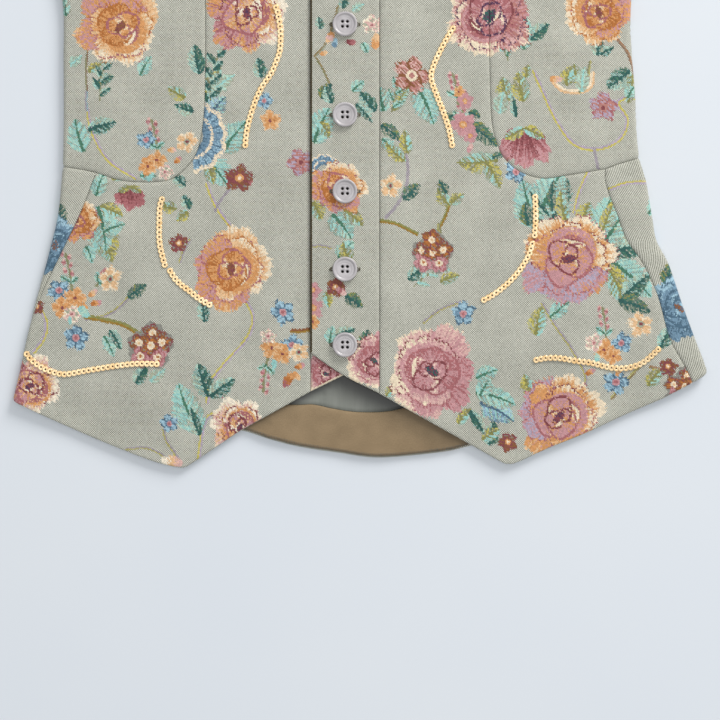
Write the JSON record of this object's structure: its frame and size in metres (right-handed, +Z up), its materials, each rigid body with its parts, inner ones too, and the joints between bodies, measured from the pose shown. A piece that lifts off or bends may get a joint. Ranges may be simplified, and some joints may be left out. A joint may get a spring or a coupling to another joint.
{
  "type": "sleeveless jacquard jacket",
  "caption": "Sleeveless buttoned jacket of floral jacquard, cut as a waistcoat with a pointed hem and side panels, laid flat on its back.",
  "frame": {"origin": "under the middle of the garment's bounding box, on the surface that it lies on", "axes": "+Y from the hem to the shoulders, +X from the wearer's right to the wearer's left, +Z up through the layers"},
  "size_m": [0.426, 0.591, 0.0108],
  "materials": {
    "jacquard": "woven floral jacquard on sage-grey twill, matt",
    "lining": "grey-green satin",
    "facing": "brown plain weave with a soft gloss",
    "button": "pale grey satin",
    "sequin": "gold, glossy"
  },
  "bodies": {
    "root": {"front_right": "jacquard", "side_front_right": "jacquard", "front_left": "jacquard", "side_front_left": "jacquard", "button_band": "jacquard", "buttonhole_band": "jacquard", "back": "jacquard", "back_lining": "lining", "back_hem_facing": "facing", "button_1": "button", "button_2": "button", "button_3": "button", "button_4": "button", "button_5": "button", "button_6": "button"}
  },
  "joints": []
}
